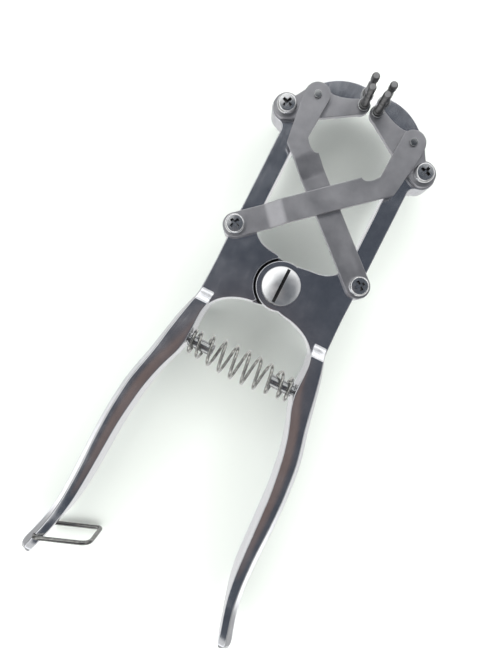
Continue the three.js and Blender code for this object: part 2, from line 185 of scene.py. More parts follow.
# Painted shade: a near-black metal for the faces of screw slots, cross recesses and the gap round
# the lug, where shade falls.
PAINTED_RECESS_SHADE = textured_metal("painted_recess_shade", (0.05, 0.05, 0.05), (0.10, 0.10, 0.10),
                             (0.5, 0.65), (900, 3), (900, 900, 900), 0.3)
WIRE = textured_metal("drawn_wire", (0.36, 0.36, 0.34), (0.56, 0.56, 0.53),
                      (0.07, 0.16), (500, 3), (900, 900, 900), 0.25)


# ---------------------------------------------------------------- outlines


class Outline:
    """A closed outline drawn point by point, anticlockwise round the material."""

    def __init__(self, x, y):
        self.points = [(x, y)]

    def line(self, x, y):
        self.points.append((x, y))
        return self

    def quad(self, cx, cy, x, y, steps=10):
        x0, y0 = self.points[-1]
        for i in range(1, steps + 1):
            t = i / steps
            a, b, c = (1 - t) ** 2, 2 * t * (1 - t), t * t
            self.points.append((a * x0 + b * cx + c * x, a * y0 + b * cy + c * y))
        return self

    def cubic(self, ax, ay, bx, by, x, y, steps=20):
        x0, y0 = self.points[-1]
        for i in range(1, steps + 1):
            t = i / steps
            u = 1 - t
            k = (u ** 3, 3 * u * u * t, 3 * u * t * t, t ** 3)
            self.points.append((k[0] * x0 + k[1] * ax + k[2] * bx + k[3] * x,
                                k[0] * y0 + k[1] * ay + k[2] * by + k[3] * y))
        return self

    def arc(self, cx, cy, radius, start, end, steps=20):
        for i in range(steps + 1):
            a = start + (end - start) * i / steps
            self.points.append((cx + radius * math.cos(a), cy + radius * math.sin(a)))
        return self

    def done(self, gap=0.05):
        """The points, anticlockwise, without near doubles."""
        kept = []
        for p in self.points:
            if not kept or math.dist(p, kept[-1]) > gap:
                kept.append(p)
        if math.dist(kept[0], kept[-1]) <= gap:
            kept.pop()
        return kept if area_of(kept) > 0 else kept[::-1]


def area_of(points):
    return sum(a[0] * b[1] - b[0] * a[1] for a, b in zip(points, points[1:] + points[:1])) / 2


def circle(centre, radius, sides=40):
    return [(centre[0] + radius * math.cos(TAU * i / sides),
             centre[1] + radius * math.sin(TAU * i / sides)) for i in range(sides)]


def inset(points, distance):
    """The loop moved towards the side on its left."""
    moved = []
    for i, p in enumerate(points):
        a, b = Vector(points[i - 1]), Vector(points[(i + 1) % len(points)])
        p = Vector(p)
        before, after = (p - a).normalized(), (b - p).normalized()
        n1, n2 = Vector((-before.y, before.x)), Vector((-after.y, after.x))
        miter = (n1 + n2).normalized()
        moved.append(p + miter * (distance / max(miter.dot(n1), 0.6)))
    return [(p.x, p.y) for p in moved]


# ---------------------------------------------------------------- meshes


def to_object(name, bm, side=1):
    """A bmesh in millimetres as an object in metres; side -1 mirrors it to the left."""
    bmesh.ops.remove_doubles(bm, verts=bm.verts, dist=1e-4)
    bmesh.ops.scale(bm, vec=(MM * side, MM, MM), verts=bm.verts)
    if side < 0:
        bmesh.ops.reverse_faces(bm, faces=bm.faces)
    bmesh.ops.recalc_face_normals(bm, faces=bm.faces)
    mesh = bpy.data.meshes.new(name)
    bm.to_mesh(mesh)
    bm.free()
    obj = bpy.data.objects.new(name, mesh)
    bpy.context.scene.collection.objects.link(obj)
    return obj


def plate_bmesh(outline, holes, low, high, top=(0, 0), bottom=(0, 0), steps=5):
    """An upright prism with rounded rims: top and bottom are (width, height) of the rounding."""
    levels = []
    for i in range(steps + 1):
        a = math.pi / 2 * i / steps
        levels.append((bottom[0] * (1 - math.sin(a)), low + bottom[1] * (1 - math.cos(a))))
    for i in range(steps + 1):
        a = math.pi / 2 * i / steps
        levels.append((top[0] * (1 - math.cos(a)), high - top[1] * (1 - math.sin(a))))
    bm = bmesh.new()
    loops = [outline] + [h if area_of(h) < 0 else h[::-1] for h in holes]
    caps = ([], [])
    for k, loop in enumerate(loops):
        rings = []
        for distance, z in levels:
            ring = inset(loop, distance if k == 0 else distance * 0.3)
            rings.append([bm.verts.new((x, y, z)) for x, y in ring])
        for lower, upper in zip(rings, rings[1:]):
            for i in range(len(lower)):
                j = (i + 1) % len(lower)
                bm.faces.new((lower[i], lower[j], upper[j], upper[i]))
        caps[0].append(rings[0])
        caps[1].append(rings[-1])
    for cap in caps:
        flat = [v for ring in cap for v in ring]
        for a, b, c in tessellate_polygon([[v.co for v in ring] for ring in cap]):
            if len({a, b, c}) == 3:
                bm.faces.new((flat[a], flat[b], flat[c]))
    return bm


def plate(name, outline, holes, low, high, side=1, **rounding):
    return to_object(name, plate_bmesh(outline, holes, low, high, **rounding), side)


def turned_bmesh(centre, profile, sides=48):
    """A turned piece: profile points are (radius, height) from the axis up to the axis."""
    bm = bmesh.new()
    rings = []
    for radius, z in profile:
        if radius < 1e-6:
            rings.append([bm.verts.new((centre[0], centre[1], z))])
        else:
            rings.append([bm.verts.new((x, y, z)) for x, y in circle(centre, radius, sides)])
    for lower, upper in zip(rings, rings[1:]):
        for i in range(sides):
            j = (i + 1) % sides
            quad = [lower[i % len(lower)], lower[j % len(lower)],
                    upper[j % len(upper)], upper[i % len(upper)]]
            face = [v for k, v in enumerate(quad) if v not in quad[:k]]
            if len(face) > 2:
                bm.faces.new(face)
    return bm


def rounded(profile, steps=4):
    """Replaces each (radius, height, r) corner of a profile by an arc-like curve of that reach."""
    out = []
    for i, point in enumerate(profile):
        if len(point) == 2:
            out.append(point)
            continue
        p = Vector(point[:2])
        before = (Vector(profile[i - 1][:2]) - p).normalized() * point[2]
        after = (Vector(profile[i + 1][:2]) - p).normalized() * point[2]
        for k in range(steps + 1):
            t = k / steps
            q = p + before * (1 - t) ** 2 + after * t * t
            out.append((q.x, q.y))
    return out


def turned(name, centre, profile, side=1, sides=48):
    return to_object(name, turned_bmesh(centre, rounded(profile), sides), side)


def sweep_bmesh(points, radius, sides=12):
    """A round wire through points, with flat ends."""
    bm = bmesh.new()
    points = [Vector(p) for p in points]
    tangent = (points[1] - points[0]).normalized()
    normal = tangent.orthogonal().normalized()
    rings = []
    for i, p in enumerate(points):
        ahead = points[min(i + 1, len(points) - 1)] - points[max(i - 1, 0)]
        turn = tangent.rotation_difference(ahead.normalized())
        tangent = ahead.normalized()
        normal = (turn @ normal).normalized()
        other = tangent.cross(normal)
        rings.append([bm.verts.new(p + radius * (math.cos(TAU * k / sides) * normal
                                                 + math.sin(TAU * k / sides) * other))
                      for k in range(sides)])
    for a, b in zip(rings, rings[1:]):
        for k in range(sides):
            j = (k + 1) % sides
            bm.faces.new((a[k], a[j], b[j], b[k]))
    bm.faces.new(rings[0][::-1])
    bm.faces.new(rings[-1])
    return bm


def block_bmesh(size, centre, turn=0.0, taper=1.0):
    """A box whose lower face is taper times the upper one."""
    bm = bmesh.new()
    bmesh.ops.create_cube(bm, size=1)
    for v in bm.verts:
        share = taper if v.co.z < 0 else 1.0
        v.co = Vector((v.co.x * size[0] * share, v.co.y * size[1] * share, v.co.z * size[2]))
    matrix = Matrix.Translation(centre) @ Matrix.Rotation(turn, 4, "Z")
    bmesh.ops.transform(bm, matrix=matrix, verts=bm.verts)
    return bm


def combine(obj, other, operation):
    """Joins other to obj or cuts it away, and removes other."""
    modifier = obj.modifiers.new("combine", "BOOLEAN")
    modifier.operation = operation
    modifier.object = other
    modifier.solver = "EXACT"
    graph = bpy.context.evaluated_depsgraph_get()
    mesh = bpy.data.meshes.new_from_object(obj.evaluated_get(graph))
    obj.modifiers.remove(modifier)
    obj.data = mesh
    bpy.data.objects.remove(other)
    return obj


def finish(obj, body, material, nodes, angle=32.0, weighted=True):
    """Shading, material, and what the piece stands for."""
    mesh = obj.data
    mesh.materials.clear()
    mesh.materials.append(material)
    for polygon in mesh.polygons:
        polygon.use_smooth = True
        polygon.material_index = 0
    mesh.set_sharp_from_angle(angle=math.radians(angle))
    if weighted:
        modifier = obj.modifiers.new("normals", "WEIGHTED_NORMAL")
        modifier.keep_sharp = True
        modifier.weight = 60
    if body:
        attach(obj, body)
    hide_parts(*nodes)
    return obj


def second_material(obj, material, inside):
    """The faces that inside(point, normal) picks, in millimetres, take the material."""
    obj.data.materials.append(material)
    for polygon in obj.data.polygons:
        if inside(polygon.center / MM, polygon.normal):
            polygon.material_index = len(obj.data.materials) - 1
    return obj


# ---------------------------------------------------------------- the levers

LUG = 12.2  # radius of each lever's half of the lap joint
RECESS = 13.4  # radius of the room for the other lever's half
PIVOT_BORE, SCREW_BORE, PRONG_BORE, HOOK_BORE = 4.3, 2.6, 1.6, 1.4
HOOK = (51.2, -159.5)  # where the bail goes into the left handle's tip
EDGE = {"top": (0.45, 0.4), "bottom": (0.6, 0.5)}
LINK_BOSS = 5.9
EAR_BOSS = 6.9
BAR_INNER = 25
BAR_OUTER = 34

# y, inner wall, crown's outer edge, outer wall, depth
HANDLE_SECTIONS = [
    (-15.6, 27.6, 32.9, 33.4, 11.4),
    (-17.0, 27.2, 33.4, 34.1, 12.0),
    (-18.3, 27.1, 33.6, 34.4, 13.5),
    (-20.4, 27.2, 33.8, 34.8, 17.1),
    (-22.5, 27.3, 33.9, 35.1, 20.6),
    (-23.8, 27.5, 34.2, 35.6, 22.0),
    (-28.5, 28.4, 35.4, 37.2, 22.0),
    (-35, 28.5, 36.8, 39.0, 22.0),
    (-42, 28.6, 38.2, 40.5, 22.0),
    (-49, 29.9, 39.4, 42.0, 22.0),
    (-57, 32.8, 41.0, 43.7, 22.0),
    (-64, 35.0, 42.7, 45.5, 22.0),
    (-73, 37.1, 44.6, 47.5, 22.0),
    (-83, 38.6, 45.7, 48.7, 22.0),
    (-93, 39.8, 46.4, 49.5, 22.0),
    (-105, 40.5, 46.6, 49.9, 22.0),
    (-119, 41.2, 46.4, 50.0, 22.0),
    (-133, 42.2, 46.9, 50.2, 22.0),
    (-143, 43.7, 48.1, 51.1, 19.8),
    (-152, 45.9, 49.9, 52.9, 17.2),
    (-160, 48.2, 52.0, 55.2, 17.0),
    (-166.5, 49.9, 53.4, 57.0, 14.5),
    (-169.2, 51.2, 52.7, 57.1, 10.5),
]


def spline(rows, steps):
    """Rows joined by smooth curves that don't overshoot, with steps between each two."""
    out = []
    slopes = []
    for i in range(len(rows)):
        a, b = rows[max(i - 1, 0)], rows[min(i + 1, len(rows) - 1)]
        row = []
        for k in range(1, len(rows[0])):
            left = (rows[i][k] - a[k]) / (rows[i][0] - a[0]) if i else None
            right = (b[k] - rows[i][k]) / (b[0] - rows[i][0]) if i + 1 < len(rows) else None
            if left is None or right is None:
                row.append(left if right is None else right)
            elif left * right <= 0:
                row.append(0.0)
            else:
                row.append(2 * left * right / (left + right))
        slopes.append(row)
    for i in range(len(rows) - 1):
        length = rows[i + 1][0] - rows[i][0]
        for s in range(steps):
            t = s / steps
            h = (2 * t ** 3 - 3 * t * t + 1, t ** 3 - 2 * t * t + t,
                 -2 * t ** 3 + 3 * t * t, t ** 3 - t * t)
            row = [rows[i][0] + t * length]
            for k in range(1, len(rows[0])):
                row.append(h[0] * rows[i][k] + h[1] * length * slopes[i][k - 1]
                           + h[2] * rows[i + 1][k] + h[3] * length * slopes[i + 1][k - 1])
            out.append(row)
    out.append(list(rows[-1]))
    return out


def soft_corner(a, corner, b, reach, steps=4):
    """Points of a small curve that replaces a corner of a section."""
    p = Vector(corner)
    before = Vector(a) - p
    after = Vector(b) - p
    before = before.normalized() * min(reach, before.length * 0.45)
    after = after.normalized() * min(reach, after.length * 0.45)
    return [p + before * (1 - k / steps) ** 2 + after * (k / steps) ** 2 for k in range(steps + 1)]


def smooth_share(value, start, end):
    t = min(max((value - start) / (end - start), 0), 1)
    return t * t * (3 - 2 * t)


def handle_bmesh():
    """The handle: a crown of two shallow facets, long outer bevels and rounded edges."""
    bm = bmesh.new()
    rings = []
    for y, inner, crown, outer, depth in spline(HANDLE_SECTIONS, 4):
        half = depth / 2
        bevel = depth * 0.32
        facet = smooth_share(-y, 26, 60)
        ridge = inner + (crown - inner) * (0.08 + 0.44 * facet)
        drop = 0.10 * (ridge - inner)
        upper = [(outer, half - bevel), (crown, half), (ridge, half), (inner, half - drop)]
        section = [(outer, -half + bevel)] + upper + [
            (inner, -half + drop), (ridge, -half), (crown, -half)]
        soft = 0.3 * (crown - inner)
        reach = [1.6, 1.6, 0.5, soft, 0.4, 0.4, soft, 0.5]
        ring = []
        for i, corner in enumerate(section):
            after = section[(i + 1) % len(section)]
            ring += soft_corner(section[i - 1], corner, after, reach[i])
        rings.append([bm.verts.new((p.x, y, MIDDLE + p.y)) for p in ring])
    for a, b in zip(rings, rings[1:]):
        for k in range(len(a)):
            j = (k + 1) % len(a)
            bm.faces.new((a[k], a[j], b[j], b[k]))
    # a small rounding of the tip, then the end face
    last = rings[-1]
    centre = sum((v.co for v in last), Vector()) / len(last)
    for share, beyond in ((0.94, 0.2), (0.84, 0.3)):
        ring = [bm.verts.new(centre + (v.co - centre) * share - Vector((0, beyond, 0)))
                for v in rings[-1]]
        for k in range(len(last)):
            j = (k + 1) % len(last)
            bm.faces.new((last[k], last[j], ring[j], ring[k]))
        last = ring
    bm.faces.new(last)
    bm.faces.new(rings[0][::-1])
    return bm


def frame_outline(reaches_lug):
    """The plate beside the pivot, the bar up to the ear and the curved jaw."""
    if reaches_lug:
        shape = Outline(2.9, 11.5).line(0, 9).line(0, -9).line(3.2, -11.2)
        shape.quad(6, -12.2, 9, -12.5, 4)
    else:
        shape = Outline(7.5, 12.6).line(5, 8).line(5, -8).line(9.0, -12.5)
    shape.cubic(17.0, -13.4, 25.6, -17.8, 27.9, -24.6, 24)
    shape.line(34.4, -24.6).quad(33.8, -12, 33.7, 0, 8).line(BAR_OUTER, 22).line(BAR_OUTER, 67)
    shape.quad(BAR_OUTER, 70.4, 37.4, 71, 6).line(34.6, 84)
    shape.cubic(31, 94.5, 21, 103.6, 8.2, 104.1, 28).quad(5.6, 104.3, 4.5, 104.2, 3)
    shape.arc(UPPER_PRONG[0], UPPER_PRONG[1], 3.2, math.pi / 2, 1.5 * math.pi, 14)
    shape.quad(9, 96, 15.5, 93.8, 8).cubic(21, 91.8, BAR_INNER, 87, BAR_INNER, 78, 18)
    shape.line(BAR_INNER, 27).cubic(BAR_INNER, 21.5, 22.6, 17.2, 17.4, 14.6, 14)
    shape.quad(14.5, 13.3, 8.8, 13.0, 8)
    if reaches_lug:
        shape.line(2.9, 12.0)
    return shape.done()


def cut_disc(obj, name, low, high):
    """Cuts a disc of the recess's radius, round the pivot, away from obj."""
    profile = [(0, low), (RECESS, low), (RECESS, high), (0, high)]
    combine(obj, to_object(name, turned_bmesh((0, 0), profile, 96)), "DIFFERENCE")


def lever(name, side, lug_on_top, body, nodes):
    """One casting: two half-thickness plates that differ at the lap joint, a handle and bosses."""
    spans = {"upper": (MIDDLE, PLATE_TOP), "lower": (PLATE_LOW, MIDDLE)}
    whole = None
    for level, (low, high) in spans.items():
        has_lug = lug_on_top == (level == "upper")
        rim = {"top": EDGE["top"]} if level == "upper" else {"bottom": EDGE["bottom"]}
        half = plate("half", frame_outline(has_lug), [], low, high, side, **rim)
        for centre, radius in ((LINK, LINK_BOSS), (EAR, EAR_BOSS)):
            turned_under = {"bottom": (1.6, 1.8)} if level == "lower" else rim
            boss = plate("boss", circle(centre, radius, 56), [], low, high, side, **turned_under)
            combine(half, boss, "UNION")
        if has_lug:
            gap = CLEAR / 2
            disc = (low + gap, high) if level == "upper" else (low, high - gap)
            lug = plate("lug", circle((0, 0), LUG, 96), [], *disc, side, **rim)
            combine(half, lug, "UNION")
            lap = (low - 1, disc[0]) if level == "upper" else (disc[1], high + 1)
            cut_disc(half, "lap", *lap)
        else:
            cut_disc(half, "room", low - 1, high + 1)
            rim_cut, out = (high, 1) if level == "upper" else (low, -1)
            flare = [(0, rim_cut - out * 0.3), (RECESS, rim_cut - out * 0.3),
                     (RECESS + 0.4, rim_cut + out * 0.1), (0, rim_cut + out * 0.1)]
            combine(half, to_object("flare", turned_bmesh((0, 0), flare[::out], 96)), "DIFFERENCE")
        whole = half if whole is None else combine(whole, half, "UNION")
    combine(whole, to_object("grip", handle_bmesh(), side), "UNION")
    bores = [((0, 0), PIVOT_BORE), (LINK, SCREW_BORE), (EAR, SCREW_BORE),
             (UPPER_PRONG, PRONG_BORE)]
    if side < 0:
        bores.append((HOOK, HOOK_BORE))
    for centre, radius in bores:
        bore = plate("bore", circle(centre, radius, 32), [], -2, HANDLE_TOP + 2, side)
        combine(whole, bore, "DIFFERENCE")
    whole.name = name
    finish(whole, body, CAST, nodes)

    def in_gap(p, n):
        """Faces deep in the gap round the lug, painted near-black as shade, but not those that look
        out at the front.
        """
        return (PIVOT_BORE + 0.2 < math.hypot(p.x, p.y) < RECESS + 0.05
                and PLATE_LOW + 0.2 < p.z < PLATE_TOP - 0.6 and not (p.y < -7 and n.y < -0.7))

    # Painted shade: the gap's faces take the near-black metal.
    return second_material(whole, PAINTED_RECESS_SHADE, in_gap)


# ---------------------------------------------------------------- strips

ARM_SLOPE = math.atan2(45.5, 52.2)
HALF_WIDTH = 5.9
RIVET_ROOM = 2.7  # the prong arm's bore, wider than the rivet
STRIP_RIM = {"top": (0.3, 0.3), "bottom": (0.3, 0.3), "steps": 3}


def cross_arm_outline(shift):
    """A straight strip from the lever, an elbow and an end; shift moves its inner shoulder."""
    start = Vector((-LINK[0], LINK[1]))
    across = Vector((-math.sin(ARM_SLOPE), math.cos(ARM_SLOPE))) * HALF_WIDTH
    end = 6.1
    dx, dy = shift * math.cos(ARM_SLOPE), shift * math.sin(ARM_SLOPE)
    shape = Outline(*(start - across)).line(28.2, 61.7)
    shape.line(RIVET[0] + end, RIVET[1] - 4)
    shape.arc(RIVET[0], RIVET[1], end, -0.2, math.pi + 0.1, 28)
    shape.line(18.6 + dx, 66.4 + dy).quad(16 + dx, 62.6 + dy, 13.4 + dx, 61.7 + dy, 6)
    shape.quad(12 + dx, 61.4 + dy, 10.8 + dx, 62.2 + dy, 4)
    shape.line(*(start + across))
    turn = ARM_SLOPE + math.pi / 2
    shape.arc(start.x, start.y, HALF_WIDTH, turn, turn + math.pi, 28)
    return shape.done()


def cross_arm(name, side, joggle, shift, body, nodes):
    """The strip, lifted by the joggle so that it passes over what lies beneath."""
    holes = [circle((-LINK[0], LINK[1]), SCREW_BORE, 24), circle(RIVET, 1.8, 20)]
    bm = plate_bmesh(cross_arm_outline(shift), holes, ARM_LOW, ARM_TOP, **STRIP_RIM)
    along = Vector((math.cos(ARM_SLOPE), math.sin(ARM_SLOPE), 0))
    start = Vector((-LINK[0], LINK[1], 0))
    begin, stop = joggle
    cuts = 12
    for i in range(cuts + 1):
        at = begin + (stop - begin) * i / cuts
        everything = bm.verts[:] + bm.edges[:] + bm.faces[:]
        bmesh.ops.bisect_plane(bm, geom=everything, plane_co=start + along * at, plane_no=along)
    for v in bm.verts:
        distance = (Vector((v.co.x, v.co.y, 0)) - start).dot(along)
        v.co.z += RISE * smooth_share(distance, begin, stop)
    return finish(to_object(name, bm, side), body, STRIP, nodes, 40)


def prong_arm_outline():
    shape = Outline(EAR[0] - 2.4, EAR[1] - 5.9).line(19.2, 79.6).line(4.1, 89)
    shape.quad(1.1, 89.9, 0.6, 92.6, 6).arc(LOWER_PRONG[0], LOWER_PRONG[1], 3.4, -2.6, -3.9, 8)
    shape.line(7.2, 96.0).quad(14, 92.6, 19, 92.4, 6).quad(26, 94.4, 31, 90.4, 6)
    shape.quad(32.4, 87.6, EAR[0] - 1.6, EAR[1] + 6.1, 6)
    return shape.done()


def prong_arm(name, side, body, nodes):
    arm = plate(name, prong_arm_outline(), [], ARM_LOW, ARM_TOP, side, **STRIP_RIM)
    boss = plate("boss", circle(EAR, 6.3, 56), [], ARM_LOW, ARM_TOP, side, **STRIP_RIM)
    combine(arm, boss, "UNION")
    for centre, radius in ((EAR, SCREW_BORE), (RIVET, RIVET_ROOM), (LOWER_PRONG, PRONG_BORE)):
        bore = plate("bore", circle(centre, radius, 32), [], ARM_LOW - 1, ARM_TOP + 1, side)
        combine(arm, bore, "DIFFERENCE")
    return finish(arm, body, STRIP, nodes)


# ---------------------------------------------------------------- fasteners


def pivot_screw():
    radius, _, top = corners("pivot_screw")[1]
    base = PLATE_TOP + CLEAR
    rim = top - 1.5
    dome = [(radius - 0.4, base), (radius, base + 0.4), (radius, rim - 0.3), (radius - 0.25, rim)]
    for i in range(1, 19):
        share = 1 - i / 18
        dome.append(((radius - 0.25) * share, rim + (top - rim) * (1 - share ** 2)))
    profile = [(0, 0.0), (3.4, 0.0), (4.0, 0.6), (4.0, base)] + dome
    screw = to_object("pivot_screw_head", turned_bmesh((0, 0), profile, 72))
    slot = to_object("slot", block_bmesh((1.6, 2 * radius - 0.8, 3.6), (0, 0, top), 0, 0.96))
    combine(screw, slot, "DIFFERENCE")
    finish(screw, "right_lever", TURNED_ZINC, ["pivot_screw"])
    # Painted shade: the slot's walls and floor take the near-black metal.
    return second_material(screw, PAINTED_RECESS_SHADE, lambda p, n: abs(p.x) < 0.82 and p.z > base
                           and (abs(n.x) > 0.8 or p.z < top - 1.7))


def pan_screw(name, centre, side, turn, body, nodes):
    """A pan head with a nearly flat middle and a cross recess that narrows as it goes down."""
    low, high = corners(nodes[0])
    head, top, base = (high[0] - low[0]) / 2, high[2], ARM_TOP + CLEAR
    screw = turned(name, centre, [
        (0, low[2]), (1.9, low[2]), (2.3, low[2] + 0.5), (2.3, base), (head, base, 0.2),
        (head, top - 1.5, 0.6), (head - 0.7, top - 0.15, 0.35), (1.5, top, 0.5), (0, top)], side)
    middle = Vector((centre[0] * side, centre[1], 0))
    for quarter in (0, math.pi / 2):
        blade = block_bmesh((1.8, 6.3, 4.0), middle + Vector((0, 0, top)), turn + quarter, 0.6)
        combine(screw, to_object("blade", blade), "DIFFERENCE")
    finish(screw, body, ZINC, nodes, 40)
    # Painted shade: the cross recess's inner faces take the near-black metal.
    return second_material(screw, PAINTED_RECESS_SHADE, lambda p, n: base < p.z < top - 0.12
                           and math.dist((p.x, p.y), middle[:2]) < 2.9 and n.z < 0.97)


def hex_nut(name, centre, flats, bore, body, nodes):
    low, high = corners(nodes[0])
    corner = flats / math.sqrt(3)
    hexagon = [(centre[0] + corner * math.cos(TAU * (i + 0.5) / 6),
                centre[1] + corner * math.sin(TAU * (i + 0.5) / 6)) for i in range(6)]
    nut = plate(name, hexagon, [circle(centre, bore, 32)], low[2], high[2],
                bottom=(0.25, 0.25), top=(0.25, 0.25), steps=2)
    flat = flats / 2
    cone = [(0, low[2] - 0.01), (flat * 0.97, low[2] - 0.01), (flat * 1.25, low[2] + 1.2),
            (flat * 1.25, high[2] - 1.2), (flat * 0.97, high[2] + 0.01), (0, high[2] + 0.01)]
    combine(nut, to_object("cone", turned_bmesh(centre, cone, 48)), "INTERSECT")
    return finish(nut, body, ZINC, nodes)


def rivet(name, side, body, nodes):
    low, high = corners(nodes[0])
    top = high[2]
    button = turned(name, RIVET, [
        (0, low[2]), (1.5, low[2]), (1.5, HIGH_TOP + CLEAR), (1.9, HIGH_TOP + CLEAR, 0.1),
        (1.9, top, 0.25), (0, top)], side, 40)
    return finish(button, body, POST_ZINC, nodes)


def prong(name, centre, face, side, body, nodes):
    """An upright prong: flange, pin, a shallow neck for the ring, and a turned flat end."""
    low, high = corners(nodes[0])
    top = high[2]
    height = top - face
    seat = face + 2 * CLEAR + 1.0
    peen = low[2]
    shank, pin, neck, flange = 1.3, 1.85, 1.5, 2.4
    piece = turned(name, centre, [
        (0, peen), (2.2, peen, 0.4), (2.2, peen + 0.8, 0.1), (shank, peen + 0.8), (shank, seat),
        (flange, seat, 0.15), (flange, seat + 1.0, 0.3), (pin, seat + 1.1),
        (pin, face + 0.58 * height, 0.3), (neck, face + 0.64 * height, 0.3),
        (neck, face + 0.74 * height, 0.3), (pin, face + 0.79 * height, 0.3),
        (pin, top - 0.5, 0.45), (1.35, top, 0.3), (0, top)], side, 40)
    finish(piece, body, PIN, nodes)
    # Painted highlight: the flat end face takes the lighter copy of the pin steel.
    return second_material(piece, PAINTED_LIT_PIN_TOP, lambda p, n: p.z > top - 0.2 and n.z > 0.9)


def washer(name, centre, side, body, nodes):
    low, high = corners(nodes[0])
    ring = plate(name, circle(centre, 3.0, 48), [circle(centre, PRONG_BORE, 24)], low[2], high[2],
                 side, top=(0.25, 0.25), bottom=(0.25, 0.25), steps=3)
    return finish(ring, body, POST_ZINC, nodes)


# ---------------------------------------------------------------- spring, posts and bail

SPRING_WIRE = 0.8
TURNS = 10


def spring():
    """A barrel spring with closed turns at both ends."""
    wall = corners("return_spring")[1][0] - 0.3
    span = wall - SPRING_WIRE + 0.3
    closed_share, closed_width = 1 / TURNS, 2.7 * SPRING_WIRE
    steps = 28 * TURNS
    points = []
    for i in range(steps + 1):
        t = i / steps
        opened = min(max((t - closed_share) / (1 - 2 * closed_share), 0), 1)
        lead = min(t, closed_share) + max(t - 1 + closed_share, 0)
        x = -span + lead / closed_share * closed_width + opened * 2 * (span - closed_width)
        radius = 5.6 + 2.4 * math.sin(math.pi * opened)
        turn = TAU * (TURNS * t - 0.15)
        points.append((x, POST_Y + radius * math.cos(turn), MIDDLE + radius * math.sin(turn)))
    coil = to_object("spring_coil", sweep_bmesh(points, SPRING_WIRE, 12))
    finish(coil, None, WIRE, ["return_spring"], 60, weighted=False)
    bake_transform(coil)
    return coil


def spring_post(name, side, body, nodes):
    low, high = corners("spring_post_right")
    tip, root = low[0], high[0]
    wall = tip + 13.0
    post = turned_bmesh((0, 0), rounded([
        (0, tip), (1.2, tip, 0.2), (3.0, tip, 0.7), (3.0, wall, 0.1),
        (2.0, wall), (2.0, root), (0, root)]), 40)
    bmesh.ops.rotate(post, verts=post.verts, matrix=Matrix.Rotation(math.pi / 2, 3, "Y"))
    bmesh.ops.translate(post, verts=post.verts, vec=(0, POST_Y, MIDDLE))
    return finish(to_object(name, post, side), body, POST_ZINC, nodes)


def bail():
    """The wire latch: an upright loop hooked into the left handle's tip."""
    low, high = corners("latch_bail")
    wire, length, angle, stub = 1.05, 26.6, math.radians(20.4), 4.5
    rise = (high[2] - low[2]) / 2 - wire
    middle = (high[2] + low[2]) / 2
    stations = [(0, rise - stub), (0, rise), (length, rise),
                (length, -rise), (0, -rise), (0, stub - rise)]
    path = [stations[0]]
    for i, reach in enumerate((2.6, 4.8, 2.4, 2.6), start=1):
        curve = soft_corner(stations[i - 1], stations[i], stations[i + 1], reach, 10)
        path += [tuple(p) for p in curve]
    path.append(stations[-1])
    points = [(-HOOK[0] + a * math.cos(angle), HOOK[1] + a * math.sin(angle), middle + h)
              for a, h in path]
    loop = to_object("bail_wire", sweep_bmesh(points, wire, 16))
    return finish(loop, "latch_bail", BAIL_WIRE, ["latch_bail"], 60,
                  weighted=False)


# ---------------------------------------------------------------- assembly

lever("right_casting", 1, True, "right_lever", ["right_lever"])
lever("left_casting", -1, False, "left_lever", ["left_lever"])
cross_arm("front_arm_strip", 1, (15, 25), 0, "front_cross_arm", ["front_cross_arm"])
cross_arm("rear_arm_strip", -1, (56, 68), 2.2, "rear_cross_arm", ["rear_cross_arm"])
pivot_screw()
hex_nut("pivot_hex_nut", (0, 0), 13, PIVOT_BORE, "right_lever", ["pivot_nut"])
spring()
bail()

# How far each pan head's cross is turned, in radians.
SCREW_TURNS = {"link_left": 1.2, "link_right": 0.9, "ear_left": 1.25, "ear_right": 1.3}
for word, side in (("right", 1), ("left", -1)):
    lever_body, arm_body = f"{word}_lever", f"prong_arm_{word}"
    rivet_body = "front_cross_arm" if word == "right" else "rear_cross_arm"
    prong_arm(f"prong_strip_{word}", side, arm_body, [f"prong_arm_{word}"])
    for place, centre in (("link", LINK), ("ear", EAR)):
        pan_screw(f"{place}_pan_head_{word}", centre, side, SCREW_TURNS[f"{place}_{word}"],
                  lever_body, [f"{place}_screw_{word}"])
        hex_nut(f"{place}_hex_nut_{word}", (centre[0] * side, centre[1]), 8, SCREW_BORE,
                lever_body, [f"{place}_nut_{word}"])
    rivet(f"rivet_button_{word}", side, rivet_body, [f"link_rivet_{word}"])
    prong(f"near_pin_{word}", LOWER_PRONG, ARM_TOP, side, arm_body, [f"lower_prong_{word}"])
    prong(f"far_pin_{word}", UPPER_PRONG, PLATE_TOP, side, lever_body, [f"upper_prong_{word}"])
    washer(f"near_washer_{word}", LOWER_PRONG, side, arm_body, [f"lower_prong_washer_{word}"])
    washer(f"far_washer_{word}", UPPER_PRONG, side, lever_body, [f"upper_prong_washer_{word}"])
    spring_post(f"post_{word}", side, lever_body, [f"spring_post_{word}"])


# ---------------------------------------------------------------- floor, light and camera

floor_bm = bmesh.new()
bmesh.ops.create_grid(floor_bm, x_segments=1, y_segments=1, size=4000)
bmesh.ops.translate(floor_bm, verts=floor_bm.verts, vec=(0, 0, -0.1))
floor = to_object("floor", floor_bm)
floor_material = new_material("pale_floor", (0.905, 0.95, 0.90), 0.0, 0.9)
floor_material.node_tree.nodes["Principled BSDF"].inputs["Specular IOR Level"].default_value = 0.0
floor.data.materials.append(floor_material)
floor.visible_glossy = False  # the polished metal mirrors the room's lower bands in its place

world = bpy.data.worlds.new("studio")
bpy.context.scene.world = world
world.use_nodes = True
tree = world.node_tree
tree.nodes.clear()


def math_node(operation, *inputs):
    made = tree.nodes.new("ShaderNodeMath")
    made.operation = operation
    for i, value in enumerate(inputs):
        if isinstance(value, (int, float)):
            made.inputs[i].default_value = value
        else:
            tree.links.new(value, made.inputs[i])
    return made.outputs[0]


